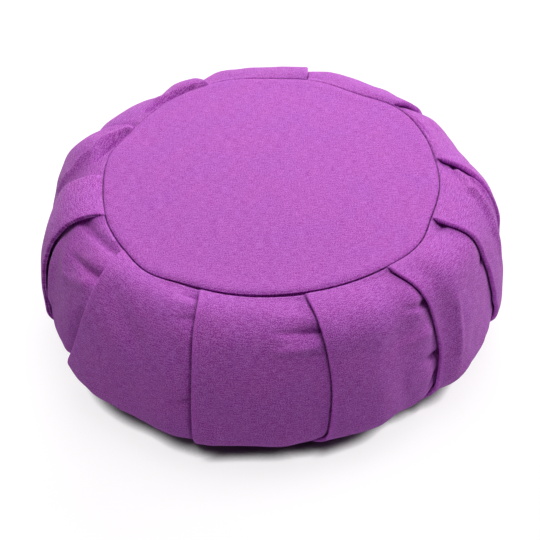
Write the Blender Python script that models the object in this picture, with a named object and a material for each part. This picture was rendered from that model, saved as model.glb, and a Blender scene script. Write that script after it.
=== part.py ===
"""A zafu: a round floor cushion of purple cotton whose side is laid in knife pleats,
with a carry strap sewn to the side.

Metres, +Z up, standing on z = 0 with the middle of the bottom panel at the origin.
An azimuth is counted in degrees from -Y towards +X, so the strap is at about -90.
"Down" is the way along the side, from 0 at the top seam to 1 at the bottom seam.
"Proud" is a distance off the plain swollen side, along its normal.
"""
import math

import bmesh
import bpy
import numpy as np

MM = 0.001

# The plain side, turned about the middle
SEAM_RADIUS = 0.1215
SEAM_HEIGHT = 0.131
WIDEST_RADIUS = 0.168
WIDEST_HEIGHT = 0.037
FOOT_RADIUS = 0.120
FOOT_HEIGHT = 0.0023
SHOULDER_POWER = 2.8
TUCK_POWER = 1.35
BEND_SOFTNESS = 9
TILT = 0.018
TILT_AZIMUTH = 84.3

# The cloth
PANEL_THICKNESS = 0.002
CROWN = 0.007
TOUCH_GAP = 0.0003
SEAM_DIP = 0.0012
SEAM_ROLL = 0.0026
BOTTOM_PANEL_RADIUS = 0.1195

# The strap and the hollow that it lies over
STRAP_WIDTH = 0.042
STRAP_THICKNESS = 0.002
STRAP_AZIMUTH = -90.0
STRAP_BOW = 1.0
SEAT_DEPTH = 0.0050
SEAT_HALF_ANGLE = 11.0
CALM_HALF_ANGLE = 13.0
SEAT_FADE = 5.0

# How a pleat is folded
TUCK_DEPTH = 0.008
NOSE_REACH = 0.0011
SEAM_STEP = 0.001
OPENING_LENGTH = 0.045

# How finely the solids are divided
PANEL_COLUMNS = 9
SIDE_ROWS = (0, 0.015, 0.035, 0.065, 0.10, 0.145, 0.20, 0.265, 0.335, 0.41,
             0.49, 0.57, 0.65, 0.72, 0.79, 0.86, 0.92, 0.965, 1.0)
DISC_COLUMNS = 44
DISC_RINGS = (0.93, 0.72, 0.45, 0.2)
STRAP_ROWS = 22

# Each pleat's fold: its azimuth at eight places down the side, then in millimetres how
# proud the fold stands of the cloth it covers, how far the slot under it gapes, and how
# much the panel that starts at it swells
FOLD_STATIONS = (0, 0.10, 0.20, 0.35, 0.50, 0.65, 0.85, 1.0)
FOLDS = (
    # fold azimuths at the stations                             proud  gape  swell
    ((-94.3, -92.0, -90.0, -89.0, -88.5, -88.5, -89.0, -90.0), 3.0, 1.3, 1.5),
    ((-60.1, -57.2, -55.2, -56.3, -59.3, -63.0, -66.0, -67.0), 3.0, 0.5, 1.5),
    ((-28.2, -25.9, -24.8, -24.0, -23.9, -23.8, -24.5, -25.5), 3.0, 0.6, 1.2),
    ((5.2, 6.6, 7.7, 9.0, 9.2, 8.4, 5.5, 4.0), 3.4, 0.6, 1.8),
    ((34.2, 35.3, 36.8, 38.3, 38.9, 36.5, 33.5, 32.5), 4.5, 1.4, 1.8),
    ((63.3, 63.6, 64.0, 65.6, 67.5, 71.5, 74.0, 75.0), 6.5, 2.2, 1.0),
    ((94.8, 91.2, 89.0, 88.8, 89.5, 90.5, 92.0, 92.5), 7.0, 2.4, 1.2),
    ((127.9, 127.1, 126.5, 127.0, 128.0, 129.0, 130.0, 130.0), 5.5, 1.6, 1.8),
    ((161.4, 162.6, 163.8, 165.0, 166.0, 166.5, 167.0, 167.0), 3.6, 0.8, 1.8),
    ((195.8, 198.2, 200.0, 201.5, 202.0, 202.5, 202.0, 201.5), 4.6, 0.9, 2.0),
    ((232.1, 238.8, 241.5, 243.0, 243.5, 243.5, 243.0, 242.0), 4.6, 0.9, 1.0),
)

# How far the top seam lies outside its mean circle, in millimetres
SEAM_OUTLINE = (
    # azimuth, out
    (-113, 0.3), (-104, -0.7), (-88, -1.4), (-80, 0.0), (-60, 2.9), (-46, 6.3),
    (-36, 2.8), (-18, 1.5), (5, 0.3), (32, 1.5), (50, 3.6), (63, -0.5), (82, 0.0),
    (95, 0.5), (107, 2.6), (128, 5.6), (140, 0.9), (161, 3.7), (172, 2.4),
    (192, 5.7), (201, 4.2), (231, -1.8), (236, -2.3),
)

# How far the filling pushes the side out of its mean shape, in millimetres
SIDE_OUTLINE = (
    # azimuth, out
    (-131, 0.0), (-124, -1.0), (-117, 1.5), (-111, -1.5), (-104, -4.0), (-92, -3.5),
    (-84, -3.0), (-78, -2.5), (-72, -2.0), (-65, 1.0), (-54, 3.0), (-46, 2.0),
    (-40, 1.0), (-30, 4.5), (-22, 3.0), (-14, 0.5), (1, 1.0), (8, -0.5), (15, -1.0),
    (22, -1.0), (28, -2.5), (35, -2.5), (41, -3.5), (50, 0.5), (62, 3.0), (84, 3.0),
    (92, -1.0), (98, -4.5), (105, -5.5), (112, -4.0), (119, -2.0), (125, -4.5),
    (132, -5.0), (138, -3.5), (144, -3.0), (150, -1.0), (157, 0.5), (165, -0.5),
    (174, -1.0), (184, 0.0), (190, 0.5), (196, -2.0), (203, -2.5), (210, -7.0),
    (216, -4.5), (222, -1.0),
)

# Broad ridges and valleys in the cloth: from and to, as azimuth and down, in millimetres
# the height (a valley's is negative) and the half width, and how much of it fades away
# towards the "from" end
CREASES = (
    # azimuth, down, azimuth, down, height, half width, fading
    (-62.0, 0.065, -80.0, 0.080, -4.5, 6.0, 0.8),
    (-77.0, 0.15, -73.0, 0.26, 2.6, 9.0, 0.0),
    (-73.0, 0.235, -56.0, 0.18, -5.0, 7.0, 0.85),
    (-50.0, 0.17, -40.0, 0.30, -2.0, 9.0, 0.0),
    (-4.0, 0.19, 5.0, 0.20, -1.6, 5.0, 0.6),
    (-3.0, 0.26, 5.0, 0.28, 1.4, 5.0, 0.6),
    (12.0, 0.20, 32.0, 0.19, 2.4, 15.0, 0.0),
    (28.0, 0.34, 37.0, 0.345, 1.5, 6.0, 0.6),
    (43.0, 0.19, 60.0, 0.19, 2.0, 14.0, 0.0),
    (46.3, 0.30, 45.6, 0.52, 1.5, 5.0, 0.0),
    (92.0, 0.07, 73.5, 0.23, 1.8, 6.0, 0.0),
    (118.0, 0.08, 98.0, 0.06, -2.6, 7.0, 0.4),
    (-138.0, 0.03, -160.0, 0.014, -3.2, 5.0, 0.6),
    (-101.0, 0.075, -126.0, 0.012, -3.6, 6.0, 0.4),
    (-124.0, 0.05, -104.0, 0.15, 2.2, 6.0, 0.0),
)

# How high the strap's inner face rides over the plain side, and how far it lies towards
# the front, in millimetres
STRAP_PATH = (
    # down, over
    (0.0, 0.7), (0.05, 1.8), (0.12, 2.2), (0.22, 1.4), (0.35, 0.4), (0.5, -0.5),
    (0.65, -1.8), (0.8, -1.8), (0.92, 0.8), (1.0, 1.0),
)
STRAP_SHIFT = (
    # down, forward
    (0.0, 5.6), (0.35, 2.6), (0.7, -0.6), (1.0, -1.0),
)
STRAP_START = 0.012
STRAP_END = 0.975

CLOTH_COLOUR = (0.42, 0.10, 0.46, 1.0)
STRAP_COLOUR = (0.40, 0.09, 0.44, 1.0)


def clear_scene():
    for thing in list(bpy.data.objects):
        bpy.data.objects.remove(thing, do_unlink=True)


def ease(share):
    """0 to 1 with a level start and end."""
    share = np.clip(share, 0.0, 1.0)
    return share * share * (3.0 - 2.0 * share)


def along_table(rows, place):
    """Reads a two-column table, easing from row to row."""
    places, values = np.array(rows, float).T
    row = np.clip(np.searchsorted(places, place, side="right") - 1, 0, len(places) - 2)
    share = (place - places[row]) / (places[row + 1] - places[row])
    return values[row] + (values[row + 1] - values[row]) * ease(share)


def around_table(rows, azimuth):
    """Reads a table of azimuths that closes on itself."""
    first = rows[0][0]
    closed = rows + ((first + 360.0, rows[0][1]),)
    return along_table(closed, (azimuth - first) % 360.0 + first)


def curve_through(stations, values, place):
    """A smooth curve through a few values, with the mean slope at each."""
    stations = np.array(stations, float)
    values = np.array(values, float)
    slopes = np.gradient(values, stations)
    row = np.clip(np.searchsorted(stations, place, side="right") - 1, 0, len(stations) - 2)
    step = stations[row + 1] - stations[row]
    t = (place - stations[row]) / step
    start = (1 + 2 * t) * (1 - t) ** 2 * values[row] + t * (1 - t) ** 2 * step * slopes[row]
    end = t * t * (3 - 2 * t) * values[row + 1] + t * t * (t - 1) * step * slopes[row + 1]
    return start + end


def softened(values, reach):
    """A running mean that keeps both ends."""
    padded = np.concatenate([
        2 * values[0] - values[reach:0:-1], values, 2 * values[-1] - values[-2:-reach - 2:-1],
    ])
    window = np.hanning(2 * reach + 3)[1:-1]
    return np.convolve(padded, window / window.sum(), mode="valid")


def plain_side():
    """The turned side as closely spaced places: down, radius, height and its normal."""
    turn = np.linspace(0.0, math.pi / 2, 240)
    upper_radius = SEAM_RADIUS + (WIDEST_RADIUS - SEAM_RADIUS) * np.sin(turn) ** (2 / SHOULDER_POWER)
    upper_height = WIDEST_HEIGHT + (SEAM_HEIGHT - WIDEST_HEIGHT) * np.cos(turn) ** (2 / SHOULDER_POWER)
    lower_radius = FOOT_RADIUS + (WIDEST_RADIUS - FOOT_RADIUS) * np.cos(turn) ** (2 / TUCK_POWER)
    lower_height = WIDEST_HEIGHT - (WIDEST_HEIGHT - FOOT_HEIGHT) * np.sin(turn) ** (2 / TUCK_POWER)
    radius = np.concatenate([upper_radius, lower_radius[1:]])
    height = np.concatenate([upper_height, lower_height[1:]])
    steps = np.hypot(np.diff(radius), np.diff(height))
    length = np.concatenate([[0.0], np.cumsum(steps)])
    even = np.linspace(0.0, length[-1], 161)
    radius = softened(np.interp(even, length, radius), BEND_SOFTNESS)
    height = softened(np.interp(even, length, height), BEND_SOFTNESS)
    out = -np.gradient(height, even)
    up = np.gradient(radius, even)
    size = np.hypot(out, up)
    return even / length[-1], radius, height, out / size, up / size, length[-1]


DOWN, RADIUS, HEIGHT, NORMAL_OUT, NORMAL_UP, SIDE_LENGTH = plain_side()


def tilt_lift(azimuth, radius, height):
    """The cushion stands a little higher on its right."""
    reach = radius * np.cos(np.radians(azimuth - TILT_AZIMUTH))
    return TILT * reach * np.clip(height / SEAM_HEIGHT, 0.0, 1.0)


def at(azimuth, radius, height):
    """Points from azimuth, radius and height, with the tilt."""
    turn = np.radians(azimuth)
    lifted = height + tilt_lift(azimuth, radius, height)
    return np.stack(np.broadcast_arrays(radius * np.sin(turn), -radius * np.cos(turn), lifted), -1)


def seam_radius(azimuth):
    return SEAM_RADIUS + MM * around_table(SEAM_OUTLINE, azimuth)


def filling_share(azimuth, down):
    """How far the filling pushes the side out: less at the seams, and low at the back."""
    behind = ease((np.abs((azimuth + 180.0) % 360.0 - 180.0) - 95.0) / 20.0)
    low = 1.0 - 0.55 * behind * ease((down - 0.22) / 0.25)
    return ease(down / 0.16) * (1.0 - ease((down - 0.88) / 0.12)) * low


def side_point(azimuth, down, proud):
    """A point of the side, uneven as the filling makes it."""
    proud = proud + filling_share(azimuth, down) * MM * around_table(SIDE_OUTLINE, azimuth)
    near_seam = np.clip(1.0 - down / 0.35, 0.0, 1.0) ** 2
    radius = np.interp(down, DOWN, RADIUS)
    radius = radius + near_seam * MM * around_table(SEAM_OUTLINE, azimuth)
    radius = radius + proud * np.interp(down, DOWN, NORMAL_OUT)
    height = np.interp(down, DOWN, HEIGHT) + proud * np.interp(down, DOWN, NORMAL_UP)
    return at(azimuth, radius, height)


def strap_seat(azimuth, down):
    """How much the strap calms the cloth under it, and how deep the hollow there is."""
    off = np.abs((azimuth - STRAP_AZIMUTH + 180.0) % 360.0 - 180.0)
    level = ease((down - 0.05) / 0.25) * (1.0 - ease((down - 0.75) / 0.2))
    calm = 1.0 - ease((off - CALM_HALF_ANGLE) / SEAT_FADE)
    under = 1.0 - ease((off - SEAT_HALF_ANGLE) / SEAT_FADE)
    return calm, SEAT_DEPTH * level * under


def crease_relief(azimuth, down):
    """The height that the creases add at a place."""
    relief = np.zeros(np.broadcast(azimuth, down).shape)
    for start, start_down, end, end_down, height, half_width, fading in CREASES:
        off = (azimuth - start + 180.0) % 360.0 - 180.0
        across = np.radians(off) * WIDEST_RADIUS
        below = (down - start_down) * SIDE_LENGTH
        run = math.radians(end - start) * WIDEST_RADIUS
        drop = (end_down - start_down) * SIDE_LENGTH
        share = np.clip((across * run + below * drop) / (run * run + drop * drop), 0.0, 1.0)
        distance = np.hypot(across - share * run, below - share * drop)
        strength = 1.0 - fading * (1.0 - share)
        width = MM * half_width * (0.5 + 0.5 * strength)
        relief += MM * height * strength * np.exp(-(distance / width) ** 2)
    return relief


def folded_row(down):
    """One row around the side, as azimuths and prouds, with every pleat's fold in section."""
    radius = float(np.interp(down, DOWN, RADIUS))
    edge = min(down, 1.0 - down)
    opened = float(ease(edge / OPENING_LENGTH))
    fullness = math.sin(math.pi * min(1.0, max(0.0, down))) ** 0.6
    folds = [float(curve_through(FOLD_STATIONS, fold[0], down)) for fold in FOLDS]
    step = SEAM_STEP * (1.0 - down)
    azimuths = []
    prouds = []
    for number, (_, proud, gape, swell) in enumerate(FOLDS):
        fold = folds[number]
        following = (number + 1) % len(FOLDS)
        next_fold = folds[following] + (360.0 if following == 0 else 0.0)
        next_proud = FOLDS[following][1]
        high = proud * MM / 2
        thick = (proud - gape) * MM
        # the open fold in section: the slot's two corners, the underside, the nose
        section = (
            (TUCK_DEPTH, -high - 0.2 * MM),
            (TUCK_DEPTH, -high + 0.4 * MM),
            (NOSE_REACH, high - thick),
            (-0.3 * MM, high - thick / 2),
        )
        for place, (reach, level) in enumerate(section):
            shut_reach = (-0.3 + 0.3 * place) * MM
            shut_level = step * (0.15 + 0.2 * place)
            azimuths.append(fold + math.degrees((reach * opened + shut_reach * (1 - opened)) / radius))
            prouds.append(level * opened + shut_level * (1 - opened))
        start = fold + math.degrees(NOSE_REACH / radius)
        end = next_fold - math.degrees(0.6 * MM / radius)
        for column in range(PANEL_COLUMNS + 1):
            share = column / PANEL_COLUMNS
            level = high * (1 - share) ** 1.3 - next_proud * MM / 2 * share ** 1.3
            level = level * opened + step * (1 - share) * (1 - opened)
            level += swell * MM * math.sin(math.pi * share) * fullness
            azimuths.append(start + (end - start) * share)
            prouds.append(level)
    azimuths = np.array(azimuths)
    prouds = np.array(prouds) + crease_relief(azimuths, down) * ease(edge / 0.03)
    calm, flat = strap_seat(azimuths, down)
    prouds = prouds * (1.0 - 0.65 * calm) - flat
    return azimuths, prouds - SEAM_DIP * math.exp(-down * SIDE_LENGTH / SEAM_ROLL)


def panel_height(share, seam_gap):
    """The top panel's upper face: share is the part of the way out to the seam."""
    return SEAM_HEIGHT + CROWN * (1.0 - share ** 2) - SEAM_DIP * np.exp(-seam_gap / SEAM_ROLL)


def disc_ring(azimuths, share, inset, sink):
    """A ring of the top panel's surface, or of one sunk below it."""
    edge = seam_radius(azimuths) - inset
    radius = edge * share
    return at(azimuths, radius, panel_height(share, edge - radius) - sink)


def disc_rings(inset, sink):
    """The inner rings of a crowned disc, and its middle."""
    azimuths = np.arange(DISC_COLUMNS) * 360.0 / DISC_COLUMNS - 180.0
    rings = [disc_ring(azimuths, share, inset, sink) for share in DISC_RINGS]
    middle = (0.0, 0.0, float(panel_height(0.0, SEAM_RADIUS)) - sink)
    return rings, middle


class Shell:
    """A closed mesh that grows ring by ring."""

    def __init__(self):
        self.bm = bmesh.new()

    def ring(self, points):
        return [self.bm.verts.new(point) for point in points]

    def join(self, outer, inner):
        """Faces between two rings of the same count."""
        count = len(outer)
        for index in range(count):
            after = (index + 1) % count
            self.bm.faces.new((outer[index], outer[after], inner[after], inner[index]))

    def zip_up(self, outer, inner):
        """Triangles between two rings of different counts, both in order of azimuth."""
        def turn_of(vert):
            return math.atan2(vert.co.x, -vert.co.y)

        def turns(ring):
            values = [turn_of(vert) for vert in ring]
            for index in range(1, len(values)):
                while values[index] < values[index - 1] - math.pi:
                    values[index] += 2 * math.pi
            return values + [values[0] + 2 * math.pi]

        nearest = min(range(len(inner)), key=lambda i: abs(math.remainder(
            turn_of(inner[i]) - turn_of(outer[0]), 2 * math.pi)))
        inner = inner[nearest:] + inner[:nearest]
        outer_turns = turns(outer)
        inner_turns = turns(inner)
        shift = round((outer_turns[0] - inner_turns[0]) / (2 * math.pi)) * 2 * math.pi
        inner_turns = [value + shift for value in inner_turns]
        i = 0
        j = 0
        while i < len(outer) or j < len(inner):
            a = outer[i % len(outer)]
            b = inner[j % len(inner)]
            if j == len(inner) or (i < len(outer) and outer_turns[i + 1] <= inner_turns[j + 1]):
                self.bm.faces.new((a, outer[(i + 1) % len(outer)], b))
                i += 1
            else:
                self.bm.faces.new((a, inner[(j + 1) % len(inner)], b))
                j += 1

    def fan(self, ring, middle):
        point = self.bm.verts.new(middle)
        for index, vert in enumerate(ring):
            self.bm.faces.new((vert, ring[(index + 1) % len(ring)], point))

    def lid(self, ring):
        self.bm.faces.new(ring)

    def finish(self, name, material, smooth_angle):
        bmesh.ops.recalc_face_normals(self.bm, faces=self.bm.faces[:])
        mesh = bpy.data.meshes.new(name)
        self.bm.to_mesh(mesh)
        self.bm.free()
        mesh.materials.append(material)
        mesh.shade_smooth()
        mesh.set_sharp_from_angle(angle=math.radians(smooth_angle))
        thing = bpy.data.objects.new(name, mesh)
        bpy.context.scene.collection.objects.link(thing)
        return thing


def cloth_material(name, colour):
    material = bpy.data.materials.new(name)
    material.use_nodes = True
    shader = material.node_tree.nodes["Principled BSDF"]
    shader.inputs["Base Color"].default_value = colour
    shader.inputs["Roughness"].default_value = 0.9
    shader.inputs["Metallic"].default_value = 0.0
    return material


def crowned_face(shell, outer, inset, sink):
    """Closes a ring with a crowned disc."""
    rings, middle = disc_rings(inset, sink)
    inner = [shell.ring(points) for points in rings]
    shell.zip_up(outer, inner[0])
    for near, far in zip(inner, inner[1:]):
        shell.join(near, far)
    shell.fan(inner[-1], middle)


def make_side_band():
    """The pleated side and the filling in it, as one solid with room for the top panel."""
    shell = Shell()
    rows = []
    for down in SIDE_ROWS:
        azimuths, prouds = folded_row(down)
        rows.append(shell.ring(side_point(azimuths, down, prouds)))
    for upper, lower in zip(rows, rows[1:]):
        shell.join(upper, lower)
    shell.lid(rows[-1])
    azimuths, _ = folded_row(0.0)
    sink = PANEL_THICKNESS + TOUCH_GAP
    floor_ring = shell.ring(disc_ring(azimuths, 1.0, 0.0, sink))
    shell.join(rows[0], floor_ring)
    crowned_face(shell, floor_ring, 0.0, sink)
    return shell.finish("side_band", cloth_material("band_cloth", CLOTH_COLOUR), 40)


def make_top_panel():
    """The crowned round panel, its edge turned down into the seam."""
    shell = Shell()
    azimuths, _ = folded_row(0.0)
    edge_top = shell.ring(disc_ring(azimuths, 1.0, TOUCH_GAP, 0.0))
    edge_under = shell.ring(disc_ring(azimuths, 1.0, TOUCH_GAP, PANEL_THICKNESS))
    rolled = shell.ring(disc_ring(azimuths, 1.0 - SEAM_ROLL / SEAM_RADIUS, TOUCH_GAP, 0.0))
    shell.join(edge_top, edge_under)
    shell.join(edge_top, rolled)
    crowned_face(shell, rolled, TOUCH_GAP, 0.0)
    crowned_face(shell, edge_under, TOUCH_GAP, PANEL_THICKNESS)
    return shell.finish("top_panel", cloth_material("panel_cloth", CLOTH_COLOUR), 40)


def make_bottom_panel():
    """The flat round panel that the cushion stands on."""
    bm = bmesh.new()
    bmesh.ops.create_circle(bm, cap_ends=True, radius=BOTTOM_PANEL_RADIUS, segments=96)
    lifted = bmesh.ops.extrude_face_region(bm, geom=bm.faces[:])
    for item in lifted["geom"]:
        if isinstance(item, bmesh.types.BMVert):
            item.co.z += PANEL_THICKNESS
    shell = Shell()
    shell.bm.free()
    shell.bm = bm
    return shell.finish("bottom_panel", cloth_material("base_cloth", CLOTH_COLOUR), 40)


def strap_point(down, across, lift):
    """A point of the strap: across runs from -1 to 1 over its width, lift is off its inner face."""
    radius = float(np.interp(down, DOWN, RADIUS))
    height = float(np.interp(down, DOWN, HEIGHT))
    out = float(np.interp(down, DOWN, NORMAL_OUT))
    up = float(np.interp(down, DOWN, NORMAL_UP))
    over = MM * float(along_table(STRAP_PATH, down)) + lift
    shift = MM * float(along_table(STRAP_SHIFT, down))
    sideways = across * STRAP_WIDTH / 2
    radius += over * out
    reach = radius - STRAP_BOW * sideways ** 2 / (2 * radius)
    height += over * up + float(tilt_lift(STRAP_AZIMUTH, radius, height))
    return (-reach, sideways - shift, height)


def make_carry_strap():
    """A strap of doubled cloth, bowed over the side from seam to seam."""
    shell = Shell()
    edge = 1.0 - STRAP_THICKNESS / STRAP_WIDTH
    section = (
        (-edge, 0.0), (0.0, 0.0), (edge, 0.0), (1.0, 0.5),
        (edge, 1.0), (0.0, 1.0), (-edge, 1.0), (-1.0, 0.5),
    )
    rings = []
    for row in range(STRAP_ROWS):
        down = STRAP_START + (STRAP_END - STRAP_START) * row / (STRAP_ROWS - 1)
        points = [strap_point(down, across, part * STRAP_THICKNESS) for across, part in section]
        rings.append(shell.ring(points))
    for upper, lower in zip(rings, rings[1:]):
        shell.join(upper, lower)
    shell.lid(rings[0])
    shell.lid(rings[-1])
    return shell.finish("carry_strap", cloth_material("strap_cloth", STRAP_COLOUR), 40)


clear_scene()
make_side_band()
make_top_panel()
make_bottom_panel()
make_carry_strap()
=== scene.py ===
"""The looks of a purple cotton zafu: its crowned top panel, pleated side, carry strap,
seams and weave, in metres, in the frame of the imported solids.

An azimuth is counted in degrees from -Y towards +X. "Down" is the way along the side,
from 0 at the top seam to 1 at the bottom seam. "Proud" is a distance off the plain side.
"""
import math

import bmesh
import bpy
import numpy as np
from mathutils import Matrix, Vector


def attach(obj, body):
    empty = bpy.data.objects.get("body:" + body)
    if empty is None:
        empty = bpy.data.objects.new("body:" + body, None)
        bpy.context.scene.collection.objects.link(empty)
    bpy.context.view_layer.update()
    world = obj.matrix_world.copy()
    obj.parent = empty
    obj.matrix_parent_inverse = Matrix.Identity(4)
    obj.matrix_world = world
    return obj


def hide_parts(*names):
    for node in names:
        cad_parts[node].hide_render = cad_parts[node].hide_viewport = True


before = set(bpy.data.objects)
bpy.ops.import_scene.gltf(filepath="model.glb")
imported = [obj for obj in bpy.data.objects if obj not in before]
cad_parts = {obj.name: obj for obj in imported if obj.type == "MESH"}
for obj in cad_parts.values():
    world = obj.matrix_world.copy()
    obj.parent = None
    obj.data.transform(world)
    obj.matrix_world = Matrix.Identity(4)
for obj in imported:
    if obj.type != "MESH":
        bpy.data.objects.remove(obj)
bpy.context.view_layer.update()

MM = 0.001

# The plain side, turned about the middle
SEAM_RADIUS = 0.1215
SEAM_HEIGHT = 0.131
WIDEST_RADIUS = 0.168
WIDEST_HEIGHT = 0.037
FOOT_RADIUS = 0.120
FOOT_HEIGHT = 0.0023
SHOULDER_POWER = 2.8
TUCK_POWER = 1.35
BEND_SOFTNESS = 9
TILT = 0.018
TILT_AZIMUTH = 84.3
PROFILE_STEPS = 400
PROFILE_PLACES = 161
NEAR_SEAM = 0.35

# The cloth and its seams
CLOTH = 0.0011
CROWN = 0.007
PUFF = 0.0006
PUFF_REACH = 0.005
TOUCH_GAP = 0.0003
SEAM_ROLL = 0.0012
SEAM_DEPTH = 0.0030
SEAM_STEP = 0.0009
FRONT_AZIMUTH = -9.0
FRONT_HALF_ANGLE = 43.0
FRONT_ROLL = 0.0020
FRONT_DEPTH = 0.0020
FRONT_GAP = 0.0015
SEAM_GAP = 0.00015
DRAWN_GAP = 0.00035
HOLLOW_REACH = 0.003
LIP_DROOP = 0.0007
LIP_REACH = 0.0025
LIP_LEAST = 0.3
LIP_CURLS = (180, 150, 120, 90, 60, 30, 0)
BASE_RADIUS = 0.1195
BASE_WAVE = 0.0004
BASE_THICKNESS = 0.002

# The strap and the flat that it lies over
STRAP_WIDTH = 0.0435
STRAP_THICKNESS = 0.0032
STRAP_LIFT = 0.0014
STRAP_PRESS = 0.0056
STRAP_AZIMUTH = -90.0
SEAT_DEPTH = 0.0024
SEAT_HALF_ANGLE = 5.0
CALM_HALF_ANGLE = 7.0
SEAT_FADE = 5.0
SEAT_ENDS = (0.05, 0.30, 0.75, 0.95)
CALMED = 0.65
STRAP_BODY = (0.12, 0.32, 0.80, 1.0)
STRAP_BOW = 1.15
STRAP_RIPPLE = 0.00025
STRAP_RIPPLE_TURNS = (23.0, 1.5)
STRAP_SWAY = 0.0003
STRAP_SWAY_TURNS = (17.0, 2.0)
PRESS_START = -0.3
PRESS_POWER = 1.5
# the painted highlight along the strap's edges: where across the width it starts, and from where
# up the thickness it counts as the outer face
STRAP_HIGHLIGHT_FROM = 0.93
OUTER_FACE = 0.9

# How a pleat is folded: how far its nose reaches past the fold and how round it is, how
# wide and long its slot is, and how its height runs over the panel
NOSE_REACH = 0.0008
NOSE_ROUND = 0.45
NOSE_STEPS = 6
TRENCH_REACH = 0.00125
OPENING_LENGTH = 0.035
SHUT_THICKNESS = 0.3
RISE_POWER = 1.3
SWELL_POWER = 0.6
LIFT_POWER = 6
LIFT_GAP = 0.4
SEAM_FADE = 0.007
DIP_START = 2.4
DIP_RANGE = 1.2
# painted highlight on each fold's nose: how far into the panel that starts at the fold it reaches,
# as a share of the panel, and over how many rows it fades in from each seam
NOSE_HIGHLIGHT_REACH = 0.02
NOSE_HIGHLIGHT_ROWS = 12

# The slot under a fold, from the covered panel's tail in and back out to the nose
SLOT = (
    # reach in mm, tail's share of the height, share of the dip, mm added
    (-0.95, 1.0, -0.9, 0.0),
    (-0.55, 1.0, -1.9, 0.0),
    (0.6, 1.0, -2.2, 0.0),
    (6.0, 1.0, -1.0, 0.0),
    (10.0, 1.0, 0.0, -0.05),
    (10.0, 1.0, 0.0, 0.25),
    (7.0, 0.4, 0.0, 0.0),
    (2.5, 0.1, 0.0, 0.0),
)

# How finely the cloth is divided
NEAR_FOLD = np.array([0.0, 0.006, 0.014, 0.025, 0.038])
PANEL_SHARES = np.concatenate([NEAR_FOLD, np.linspace(0.052, 0.948, 56), 1.0 - NEAR_FOLD[::-1]])
SIDE_ROWS = (
    # from, to, rows
    (0.0, 0.03, 10),
    (0.03, 0.32, 36),
    (0.32, 0.75, 36),
    (0.75, 0.975, 20),
)
FOOT_ROWS = 7
DISC_COLUMNS = 120
TOP_COLUMNS = 360
BASE_COLUMNS = 180
EDGE_INSETS = MM * np.array([1.0, 1.6, 2.5, 4.0, 6.0])
FACE_SHARES = np.linspace(0.925, 0.05, 26)
UNDER_TOP_SHARES = (0.95, 0.8, 0.6, 0.4, 0.2)
FOOT_SHARES = (0.9, 0.5)
BASE_SHARES = (1.0, 0.985, 0.9, 0.6, 0.3)

# Each pleat's fold: its azimuth at eight places down the side, then in millimetres how
# proud the fold stands of the cloth it covers, how far the slot under it gapes, and how
# much the panel that starts at it swells
FOLD_STATIONS = (0, 0.10, 0.20, 0.35, 0.50, 0.65, 0.85, 1.0)
FOLDS = (
    # name, fold azimuths at the stations, proud, gape, swell
    ("P10", (-94.3, -92.0, -90.0, -89.0, -88.5, -88.5, -89.0, -90.0), 2.6, 0.5, 1.5),
    ("P12", (-60.1, -57.0, -56.0, -57.0, -59.3, -63.8, -68.0, -70.0), 4.0, 0.6, 1.5),
    ("P1", (-28.2, -25.9, -24.8, -24.0, -23.9, -23.8, -24.5, -25.5), 3.3, 0.8, 1.2),
    ("P2", (5.2, 6.6, 7.7, 9.0, 9.2, 8.4, 5.5, 4.0), 3.4, 0.6, 1.8),
    ("P3", (34.2, 35.9, 37.8, 39.5, 40.5, 39.6, 36.5, 35.5), 4.0, 0.9, 1.8),
    ("P4", (63.0, 62.4, 62.8, 64.2, 66.2, 70.5, 73.5, 74.5), 4.2, 0.7, 1.0),
    ("P5", (95.2, 91.4, 87.4, 87.2, 88.8, 90.5, 92.0, 92.5), 4.6, 0.6, 1.2),
    ("P6", (127.9, 127.1, 126.5, 127.0, 128.0, 129.0, 130.0, 130.0), 5.5, 0.8, 2.2),
    ("P7", (161.4, 162.6, 163.8, 165.0, 166.0, 166.5, 167.0, 167.0), 3.6, 0.8, 1.8),
    ("P8", (195.8, 198.2, 200.0, 201.5, 202.0, 202.5, 202.0, 201.5), 4.6, 0.9, 0.8),
    ("P9", (230.5, 234.7, 239.0, 242.0, 243.0, 243.5, 243.0, 242.0), 4.6, 0.9, 1.0),
)

# How far the top seam lies outside its mean circle, in millimetres
SEAM_OUTLINE = (
    # azimuth, out
    (-113, 0.3), (-104, -0.7), (-88, -1.4), (-80, 0.0), (-60, 2.9), (-46, 6.3),
    (-36, 2.8), (-18, 1.5), (5, 0.3), (32, 1.5), (50, 3.6), (63, -0.5), (82, 0.0),
    (95, 0.5), (107, 2.6), (128, 5.6), (140, 0.9), (161, 3.7), (172, 2.4),
    (192, 5.7), (201, 4.2), (231, -1.8), (236, -2.3),
)

# How far the top seam is drawn in, by the azimuth to either side of the front
SEAM_DRAW = (
    # azimuth, share
    (0, 1.0), (95, 0.85), (112, 0.35), (150, 0.12), (180, 0.12),
)

# How far the filling pushes the side out of its mean shape, in millimetres
SIDE_OUTLINE = (
    # azimuth, out
    (-131, -0.5), (-124, -1.2), (-117, 1.8), (-111, -1.5), (-105, -6.2), (-92, -4.0),
    (-84, -4.0), (-78, -4.4), (-71, -2.2), (-65, 0.6), (-54, 2.4), (-46, 1.8),
    (-40, 1.3), (-30, 4.5), (-22, 3.0), (-14, 0.8), (1, 1.2), (8, -0.3), (15, -1.0),
    (22, -0.8), (28, -3.0), (35, -1.0), (41, -3.5), (46, 0.5), (54, 0.4), (62, 1.4),
    (74, 2.2), (84, 2.4), (92, -0.8), (98, -4.2), (105, -5.8), (112, -4.5), (119, -1.8),
    (125, -3.8), (132, -5.0), (138, -3.5), (144, -3.0), (150, -1.0), (157, 0.4), (165, -0.5),
    (174, -1.0), (184, 0.0), (190, 0.5), (196, -3.2), (203, -2.4), (210, -6.4),
    (216, -3.2), (222, -1.5),
)

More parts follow.
